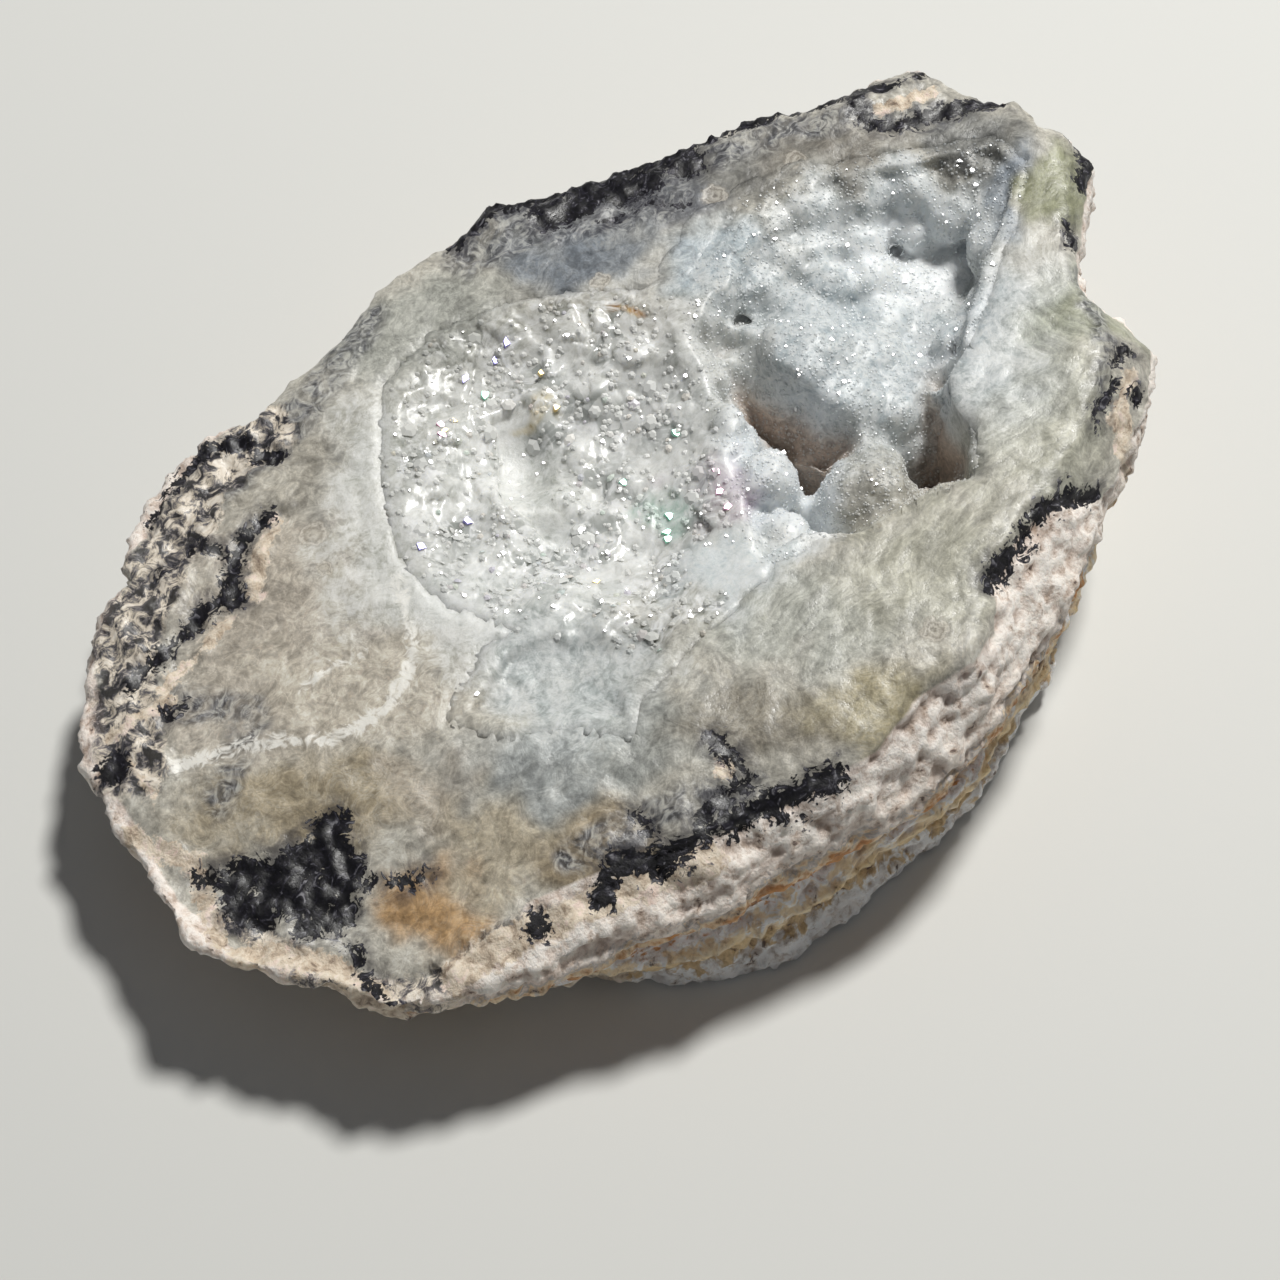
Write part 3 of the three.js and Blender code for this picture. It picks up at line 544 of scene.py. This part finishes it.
        # broken quartz: every grain has its own depth of milk, with bright cracks between some
        shaken = add(tree, "ShaderNodeVectorMath", {0: inMm, 1: add(tree, "ShaderNodeTexNoise", {"Vector": inMm, "Scale": 0.9, "Detail": 2.0}, out="Color")}, operation="ADD")
        grain = add(tree, "ShaderNodeTexVoronoi", {"Vector": shaken, "Scale": 0.62}, out="Color")
        crack = add(tree, "ShaderNodeTexVoronoi", {"Vector": shaken, "Scale": 0.62}, feature="DISTANCE_TO_EDGE")
        body = mix(sums(mark["broken"], 0.9, "MULTIPLY"), body, ramp(grain, [(0.2, "#C2C5C4"), (0.75, "#FFFFFF")]), "MULTIPLY")
        # broad white streaks over the broken quartz: partly the milky quartz's own white, partly a painted highlight
        body = mix(sums(ramp(curls, [(0.5, 0.0), (0.62, 0.7)]), mark["broken"], "MULTIPLY"), body, "#FFFFFF")
        bright = sums(ramp(crack, [(0.0, 1.0), (0.09, 0.0)]), ramp(curls, [(0.45, 0.0), (0.6, 0.8)]), "MULTIPLY")
        body = mix(sums(bright, mark["broken"], "MULTIPLY"), body, "#FCFCFA")
        dull = sums(mark["broken"], -0.7, "MULTIPLY")
    rough = sums(sums(dull, 0.35, "MULTIPLY"), sums(speck, 0.8, "MULTIPLY"), clamp=True)
    bumpStrength = sums(sums(dull, 0.6, "MULTIPLY"), 0.25, clamp=True)
    bump = add(tree, "ShaderNodeBump", {"Strength": bumpStrength, "Distance": 0.0004, "Height": speck})
    tree.links.new(body, shader.inputs["Base Color"])
    tree.links.new(rough, shader.inputs["Roughness"])
    tree.links.new(bump, shader.inputs["Normal"])
    return material


stone = shapeStone()
stone.data.materials.append(agateMaterial("agate_and_chalky_rind", True))
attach(stone, "root")
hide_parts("stone")
print("stone made")

# ---- the crust of crystals
lumps = [  # place on the face, depth of the middle under it, radius
    (18.6, 1.4, 4.8, 5.2), (15.4, 4.6, 5.4, 4.6), (18.4, -3.4, 6.0, 4.8), (22.6, 4.8, 6.6, 4.4), (23.2, -1.2, 6.8, 4.2),
    (21.4, -7.2, 7.4, 3.6), (20.0, 0.0, 9.5, 6.5), (14.2, -12.2, 3.8, 3.4), (17.6, -14.8, 6.6, 2.8), (9.8, -4.8, 4.8, 2.5),
    (11.0, -8.6, 4.4, 1.6), (6.0, -9.4, 5.2, 2.9), (9.0, -11.6, 6.0, 2.8), (9.4, -0.6, 5.0, 3.4), (5.6, -5.4, 4.6, 3.0),
    (25.8, 13.0, 4.6, 2.6), (30.4, 11.4, 5.0, 2.4), (34.0, 8.6, 5.4, 2.3), (29.8, 5.2, 6.4, 2.9), (26.4, 7.8, 6.0, 2.9),
    (22.0, 10.4, 4.8, 3.4), (28.2, 1.4, 8.0, 3.0), (26.2, -4.6, 8.8, 3.0), (32.6, 2.6, 8.8, 2.8), (36.4, 4.8, 7.8, 2.6),
    (37.8, 1.2, 9.0, 2.5), (40.8, 3.4, 6.6, 2.1), (31.4, -1.8, 10.0, 2.8), (16.0, 10.6, 3.0, 2.6),
]
slopes = [  # flatter lumps that lead from the pocket's walls up to the face
    (18.0, 12.6, 2.6, 3.6), (22.0, 14.0, 2.8, 3.6), (26.0, 14.0, 3.0, 3.2), (30.0, 12.6, 3.0, 3.2), (33.6, 10.2, 3.2, 3.0),
    (37.2, 7.6, 3.2, 2.8), (40.8, 4.8, 3.0, 2.8), (42.4, 1.6, 3.0, 2.4), (40.4, 0.2, 3.8, 2.8), (38.8, 4.0, 4.6, 3.0),
    (38.4, -3.4, 3.4, 2.4), (31.2, 7.6, 5.2, 2.6), (35.4, 6.0, 5.4, 2.2), (13.6, 9.4, 3.0, 3.0), (24.6, 10.8, 4.4, 3.2),
    (27.6, 9.4, 4.0, 2.2), (25.8, 5.8, 3.8, 2.2), (14.0, 12.6, 2.2, 2.6), (38.2, -1.8, 4.6, 2.8), (36.6, -5.0, 4.0, 2.8),
    (33.0, -6.2, 5.0, 3.0), (29.5, -6.6, 5.6, 3.0),
]
balls = [  # egg-shaped lumps that stand free at the pocket's near side
    (8.7, -5.1, 2.4, 2.6), (9.0, 0.4, 4.2, 2.8), (5.8, -9.8, 3.8, 3.0), (13.0, -11.2, 4.4, 3.6), (15.8, -9.2, 5.6, 3.2), (5.2, -5.2, 4.4, 2.2),
]
fillOutline = [
    (15.6, 8), (15.2, 4), (15.4, 0), (16, -4), (17.6, -7), (21, -8.6), (25, -7), (28.5, -7.6), (34.4, -5), (39.6, -2.4),
    (44.4, 0.2), (44.8, 4.7), (38, 9.8), (31, 14.8), (25.4, 16.4), (18, 14), (15, 11.4),
]
fill = {"level": 3.3, "start": 0.5, "slope": 1.0, "share": 0.85, "creviceDepth": 9.0, "trench": 2.4, "gap": 1.8}
clear = {"x": (27.2, 35.3), "y": (-1.8, 2.9), "depth": 6.5}  # the record's free space over the lumps
sharpEdge = {"line": [(6.4, -13.4), (9, -15.4), (14.4, -16.4), (19, -18.4), (22.4, -15.4), (23, -12), (24.6, -10), (29, -8.6)], "back": (0.45, -0.9, 0), "by": 0.9}
lowPane = [(-2.8, 16.2), (-4.4, 13.4), (-7.7, 9.2), (-7.3, 5.9), (-6.8, 3), (-3.5, 3.4), (0.1, 7), (2.6, 12), (0.5, 16)]
stepEdge = [(-2.8, 16.2), (-4.4, 13.4), (-7.7, 9.2), (-7.3, 5.9), (-6.8, 3)]
crustBuild = {"voxel": 0.3, "smoothing": 6, "bud": (0.25, 0.4), "fineLumps": 0.08, "bumps": 0.5, "breaks": ((3.2, 0.24), (1.5, 0.3)),
              "wear": 220, "lipReach": 0.7, "underEdge": 0.6, "paneDrop": 0.9, "skin": 0.02}


def lumpBalls():
    made = [((x, y, planeHeight(x, y) - deep), radius) for x, y, deep, radius in balls]
    for n, (x, y, deep, radius) in enumerate(lumps + slopes):
        middle = Vector((x, y, planeHeight(x, y) - deep))
        made.append((middle, radius * 1.02))
        for bud in range(3 if n < len(lumps) else 6):
            turn, lift = random.uniform(0, 2 * math.pi), math.asin(random.uniform(0, 0.9))
            out = Vector((math.cos(turn) * math.cos(lift), math.sin(turn) * math.cos(lift), math.sin(lift)))
            small = radius * random.uniform(*crustBuild["bud"])
            made.append((middle + out * (radius - small * 0.75), small))
    return made


def fillPocket(points):  # the lumps sit close together: the gaps between them are grown over, all but the crevices
    x, y = points[:, 0], points[:, 1]
    deep = planeHeight(x, y) - points[:, 2]
    allowed = np.clip(fill["start"] + fill["slope"] * insideBy(points, pocketMouth), 0.4, fill["level"]) + 0.4 * noiseAt(points * (1, 1, 0), 3.0, 12)
    fromClear = np.hypot(np.maximum.reduce([clear["x"][0] - x, x - clear["x"][1], 0 * x]), np.maximum.reduce([clear["y"][0] - y, y - clear["y"][1], 0 * y]))
    allowed += np.maximum(clear["depth"] - allowed, 0) * smoothStep(5.5, 0.2, fromClear)
    allowed = np.maximum(allowed, fill["creviceDepth"] * smoothStep(-2.0, -0.6, strokeField(points, creviceStrokes)))
    points[:, 2] -= fill["trench"] * smoothStep(-1.9, -0.5, strokeField(points, creviceStrokes)) * smoothStep(0.6, 2.2, insideBy(points, pocketMouth))
    inside = smoothStep(-0.4, 0.8, insideBy(points, fillOutline))
    points[:, 2] += inside * fill["share"] * np.maximum(deep - allowed, 0)
    # round the free-standing lumps it stays open
    nearest = np.minimum.reduce([np.hypot(x - a, y - b) / radius for a, b, drop, radius in balls])
    points[:, 2] -= fill["gap"] * smoothStep(0.85, 1.15, nearest) * smoothStep(0, -1.5, insideBy(points, fillOutline)) * smoothStep(0.4, 2.0, insideBy(points, pocketMouth))
    return smoothStep(0.3, 2.0, fromClear)


def wornDown(piece, weights, times):  # smooths a piece where the weights say
    group = piece.vertex_groups.new(name="worn")
    for n in np.nonzero(weights > 0.01)[0]:
        group.add([int(n)], float(weights[n]), "REPLACE")
    soften = piece.modifiers.new("wear", "SMOOTH")
    soften.factor = 0.5
    soften.iterations = times
    soften.vertex_group = group.name
    return settled(piece)


def shapeCrust():
    piece = remeshedCopy("crystal_crust", "chalcedony_crust", crustBuild, lumpBalls())
    points = readPoints(piece.data)
    offBox = fillPocket(points)
    writePoints(piece.data, points)
    pocket, crystals, shelf = [insideBy(points, mouth) for mouth in (pocketMouth, crystalMouth, shelfMouth)]
    wornDown(piece, smoothStep(0.3, 2.0, crystals) * smoothStep(1.5, -1.0, pocket), crustBuild["wear"])
    wornDown(piece, smoothStep(0.3, 1.5, pocket), 6)
    mesh = piece.data
    points, normals = readPoints(mesh), readNormals(mesh)
    top = planeHeight(points[:, 0], points[:, 1])
    facesUp = smoothStep(-0.1, 0.3, normals[:, 2])
    broken = smoothStep(-0.2, 2.2, crystals) * smoothStep(1.5, -1.5, pocket) * facesUp
    broken *= smoothStep(2.6, 4.2, np.hypot(points[:, 0] - 0.6, points[:, 1] + 9.2))
    pane = smoothStep(0, 0.4, insideBy(points, lowPane)) * smoothStep(5.0, 2.5, lineDistance(points, stepEdge))
    push = crustBuild["fineLumps"] * noiseAt(points, 0.8)
    sway = 0.6 * np.stack([noiseAt(points, 2.0, n) for n in (80, 90, 100)], axis=1)
    bumps = 0.7 * (0.4 - cellsAt(points + 30 + sway, 3.4)) + 0.3 * (0.4 - cellsAt(points + sway, 1.7))
    push += crustBuild["bumps"] * 2 * bumps * smoothStep(0.3, 2.0, pocket) * offBox
    for size, slope in crustBuild["breaks"]:
        push += broken * (1 - pane) * facetsAt(points, size, slope)
    push -= crustBuild["paneDrop"] * pane * facesUp
    # the crust's lip runs over the stone's edge, so no gap shows
    lip = smoothStep(2.0, 0.3, np.maximum.reduce([pocket, crystals, shelf])) * smoothStep(3.0, 1.0, top - points[:, 2])
    level = np.hypot(normals[:, 0], normals[:, 1])
    push += crustBuild["lipReach"] * lip * level
    points = points + normals * push[:, None]
    # at the pocket's sharp near edge the bare stone shows, so the crust draws back into it
    atEdge = smoothStep(2.0, 0.9, lineDistance(points, sharpEdge["line"]))
    points += sharpEdge["by"] * atEdge[:, None] * sharpEdge["back"]
    mouths = np.maximum.reduce([insideBy(points, mouth) for mouth in (pocketMouth, crystalMouth, shelfMouth)])
    points[:, 2] = np.minimum(points[:, 2], top - crustBuild["underEdge"] * atEdge + 0.05 * smoothStep(0, 1, mouths) * noiseAt(points, 1.5))
    for n in np.nonzero((mouths < 0.25) & (atEdge < 0.1) & (top - points[:, 2] < 1.0) & (normals[:, 2] > 0.3))[0]:
        hit, place = stone.ray_cast(Vector((*points[n, :2], 60)) * mm, Vector((0, 0, -1)))[:2]
        if hit:
            points[n, 2] = max(points[n, 2] - 0.3, place.z / mm) + crustBuild["skin"]
    writePoints(mesh, points)
    wornDown(piece, smoothStep(1.5, 0.3, np.abs(mouths)) * smoothStep(1.5, 0.8, top - points[:, 2]) * (normals[:, 2] > 0.2) * (1 - atEdge), 12)
    mesh = piece.data
    points = readPoints(mesh)
    marks = marksOf(points)
    marks["pocket"] = smoothStep(-0.5, 1.5, pocket) * (normals[:, 2] > -0.6)
    marks["broken"] = broken * (1 - pane) * (0.35 + 0.65 * smoothStep(-0.15, 0.25, noiseAt(points, 4.0, 17)))
    storeNumbers(mesh, marks)
    paintMesh(mesh, points)
    print("crust", len(mesh.polygons), "faces")
    return piece


crust = shapeCrust()
crust.data.materials.append(agateMaterial("milky_chalcedony", False))
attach(crust, "root")
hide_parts("crystal_crust")
print("crust made")


# ---- small crystals that grow on the crust
def crystalTree(name):
    tree = bpy.data.node_groups.new(name, "GeometryNodeTree")
    sockets = {"Geometry": "Geometry", "Density": "Float", "Where": "Float", "Smallest": "Float", "Largest": "Float",
               "Lean": "Float", "Depth": "Float", "Sides": "Int", "Seed": "Int", "Material": "Material"}
    for label, kind in sockets.items():
        tree.interface.new_socket(label, in_out="INPUT", socket_type="NodeSocket" + kind)
    tree.interface.new_socket("Geometry", in_out="OUTPUT", socket_type="NodeSocketGeometry")
    given = add(tree, "NodeGroupInput", {}).node.outputs
    density = add(tree, "ShaderNodeMath", {0: given["Density"], 1: given["Where"]}, operation="MULTIPLY")
    spots = add(tree, "GeometryNodeDistributePointsOnFaces", {"Mesh": given["Geometry"], "Density": density, "Seed": given["Seed"]})
    crystal = add(tree, "GeometryNodeMeshCone", {"Vertices": given["Sides"], "Side Segments": 1, "Fill Segments": 1, "Radius Top": 0.3, "Radius Bottom": 0.62, "Depth": given["Depth"]}, fill_type="NGON")
    crystal = add(tree, "GeometryNodeSetShadeSmooth", {"Geometry": crystal, "Shade Smooth": False})
    back = add(tree, "ShaderNodeMath", {0: given["Lean"], 1: -1.0}, operation="MULTIPLY")
    leanFrom = add(tree, "ShaderNodeCombineXYZ", {0: back, 1: back, 2: -math.pi})
    leanTo = add(tree, "ShaderNodeCombineXYZ", {0: given["Lean"], 1: given["Lean"], 2: math.pi})
    lean = add(tree, "FunctionNodeRandomValue", {"Min": leanFrom, "Max": leanTo, "Seed": given["Seed"]}, data_type="FLOAT_VECTOR")
    turned = add(tree, "FunctionNodeRotateRotation", {"Rotation": spots.node.outputs["Rotation"], "Rotate By": lean}, rotation_space="LOCAL")
    size = add(tree, "FunctionNodeRandomValue", {"Min": given["Smallest"], "Max": given["Largest"], "Seed": given["Seed"]}, data_type="FLOAT")
    placed = add(tree, "GeometryNodeInstanceOnPoints", {"Points": spots, "Instance": crystal, "Rotation": turned, "Scale": size})
    chance = add(tree, "FunctionNodeRandomValue", {"Seed": 5}, data_type="FLOAT")
    placed = add(tree, "GeometryNodeStoreNamedAttribute", {"Geometry": placed, "Name": "chance", "Value": chance}, data_type="FLOAT", domain="INSTANCE")
    whole = add(tree, "GeometryNodeRealizeInstances", {"Geometry": placed})
    add(tree, "NodeGroupOutput", {"Geometry": add(tree, "GeometryNodeSetMaterial", {"Geometry": whole, "Material": given["Material"]})})
    return tree


def growOn(host, name, tree, where, **values):
    piece = linked(name, host.data.copy())
    modifier = piece.modifiers.new("grow", "NODES")
    modifier.node_group = tree
    for item in tree.interface.items_tree:
        if item.in_out == "INPUT" and item.name == "Where":
            modifier[item.identifier + "_use_attribute"] = True
            modifier[item.identifier + "_attribute_name"] = where
        elif item.in_out == "INPUT" and item.name in values:
            modifier[item.identifier] = values[item.name]
    settled(piece)
    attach(piece, "root")
    print(name, len(piece.data.polygons), "faces")
    return piece


def quartzMaterial(name, tints, roughness, clear):
    # clear to milky quartz: glassy flat faces, a few with the pastel sheen of thin cracks
    material, tree, shader, inMm = newMaterial(
        name, Roughness=roughness, IOR=1.544, Transmission_Weight=clear)
    chance = add(tree, "ShaderNodeAttribute", {}, out="Fac", attribute_name="chance")
    tint = add(tree, "ShaderNodeValToRGB", {"Fac": chance}, stops=tints)
    paint = add(tree, "ShaderNodeAttribute", {}, out="Color", attribute_name="paint")
    body = add(tree, "ShaderNodeMix", {"Factor": 0.35, "A": paint, "B": tint}, data_type="RGBA")
    tree.links.new(body, shader.inputs["Base Color"])
    return material


crystalGrowth = crystalTree("crystals_on_a_surface")
perMm2 = 1e6  # a density of one in a square millimetre, in square metres
frost = quartzMaterial("tiny_quartz_frost", [(0.0, "#D3D8DB"), (1.0, "#EEF1F2")], 0.25, 0.0)
quartz = quartzMaterial("clear_broken_quartz", [
    (0.0, "#F4F5F4"), (1.0, "#F6E8CC"), (0.6, "#EEEFEC"), (0.85, "#FFFFFF"), (0.91, "#EFE0CE"), (0.95, "#DDD2F6"), (0.98, "#CCF2E1")], 0.12, 0.1)
growOn(crust, "druse_frost", crystalGrowth, "pocket", Material=frost, Density=4.7 * perMm2, Smallest=0.00013, Largest=0.00028, Lean=0.5, Depth=0.28, Sides=5, Seed=3)
growOn(crust, "quartz_coarse", crystalGrowth, "broken", Material=quartz, Density=0.07 * perMm2, Smallest=0.0007, Largest=0.0014, Lean=0.3, Depth=0.2, Sides=6, Seed=11)
growOn(crust, "quartz_fine", crystalGrowth, "broken", Material=quartz, Density=1.6 * perMm2, Smallest=0.00025, Largest=0.0006, Lean=0.6, Depth=0.28, Sides=6, Seed=12)

# faces and thin cracks that happen to lie so that they throw the lamp's light at the viewer
flashes = [
    {"tint": "#BFB9FF", "size": 1.2, "at": [(2.3, 20.4), (0.8, 19.6), (-2.2, 20.2), (-10.5, 9.8), (-15.1, 10)]},
    {"tint": "#FFC9E6", "size": 1.0, "at": [(-5.9, 18.4), (-6.6, 17.4), (4.4, -3.3), (5.2, -2.2), (3.4, -5.2)]},
    {"tint": "#FFE3A0", "size": 0.8, "at": [(-6, 17.1), (2.3, 16), (1.8, 12.3), (-4.6, 17.6), (-6.4, -1.6)]},
    {"tint": "#B4F5DA", "size": 1.1, "at": [(-2, 18.2), (-0.2, -2), (0.9, -1.1), (6.3, 4), (0.6, 3.9), (-0.8, -2.8)]},
    {"tint": "#FFFFFF", "size": 0.6, "at": [
        (-21.3, -4.1), (-5.2, -10.2), (39.9, 3.5), (39.8, 2.5), (31.5, 2), (32.9, 2.7), (27.3, -3.4), (33.9, -4.9), (24.5, 11),
        (20.9, -0.1), (18.6, -2.6), (17.9, -3.5), (11.3, -4.6), (28.9, 7.1), (39.6, 4.9), (-9, 16), (-16, 4), (-12, -2), (-8, 1),
        (-11, 5), (3, 8), (8, 11), (10, 7), (-2, 6), (6, 17), (14.6, 9.4), (15.4, 11.4), (-9, -4), (-14, 0.6), (-4, 0)]},
]
flashBuild = {"thickness": 0.3, "spread": 0.03, "size": 0.8, "scattered": 130, "tiny": (0.22, 0.42)}


def makeFlashes():
    towardsLamp = Vector(keyLight["towards"]).normalized() * keyLight["distance"]
    towardsViewer = scene.camera.location / mm
    points, normals = readPoints(crust.data), readNormals(crust.data)
    seen = points[normals[:, 2] > 0.1]
    corners, faces, tints = [], [], []
    tiny = []
    while len(tiny) < flashBuild["scattered"]:
        spot = np.array([[random.uniform(-18, 42), random.uniform(-14, 25)]])
        if max(insideBy(spot, crystalMouth)[0], insideBy(spot, pocketMouth)[0]) > 0.8:
            tiny.append({"tint": "#FFFFFF", "size": random.uniform(*flashBuild["tiny"]), "at": [tuple(spot[0])]})
    for kind in flashes + tiny:
        for x, y in kind["at"]:
            near = seen[np.hypot(seen[:, 0] - x, seen[:, 1] - y) < 0.6]
            if not len(near):
                continue
            middle = Vector(near[near[:, 2].argmax()])
            half = (towardsLamp - middle).normalized() + (towardsViewer - middle).normalized()
            sway = Vector([random.uniform(-1, 1) for _ in range(3)]) * flashBuild["spread"]
            axis = (half.normalized() + sway).normalized()
            side = axis.orthogonal().normalized()
            sides, first = random.choice((4, 5, 6)), len(corners)
            for ring, rise in ((1.0, 0.15), (1.15, -flashBuild["thickness"])):
                for n in range(sides):
                    turn = 2 * math.pi * (n + 0.3 * math.sin(7 * n + x)) / sides
                    reach = kind["size"] * flashBuild["size"] * 0.5 * ring * (0.8 + 0.2 * math.sin(3 * n + y))
                    corners.append((middle + (side * math.cos(turn) + axis.cross(side) * math.sin(turn)) * reach + axis * rise) * mm)
                    tints.append((*colour(kind["tint"]), 1))
            faces.append([first + n for n in range(sides)])
            faces.append([first + sides + n for n in reversed(range(sides))])
            faces += [[first + n, first + sides + n, first + sides + (n + 1) % sides, first + (n + 1) % sides] for n in range(sides)]
    mesh = bpy.data.meshes.new("quartz_flashes")
    mesh.from_pydata(corners, [], faces)
    mesh.attributes.new("paint", "FLOAT_COLOR", "POINT").data.foreach_set("color", np.array(tints, np.float32).ravel())
    return linked("quartz_flashes", mesh)


def flashMaterial():
    # a bright crack inside clear quartz: pearly, tinted where the film in it splits the light
    material, tree, shader, inMm = newMaterial("pearly_quartz_crack", Roughness=0.22, IOR=1.7)
    paint = add(tree, "ShaderNodeAttribute", {}, out="Color", attribute_name="paint")
    tree.links.new(paint, shader.inputs["Base Color"])
    tree.links.new(paint, shader.inputs["Specular Tint"])
    return material


flash = makeFlashes()
flash.data.materials.append(flashMaterial())
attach(flash, "root")
print("small crystals made")
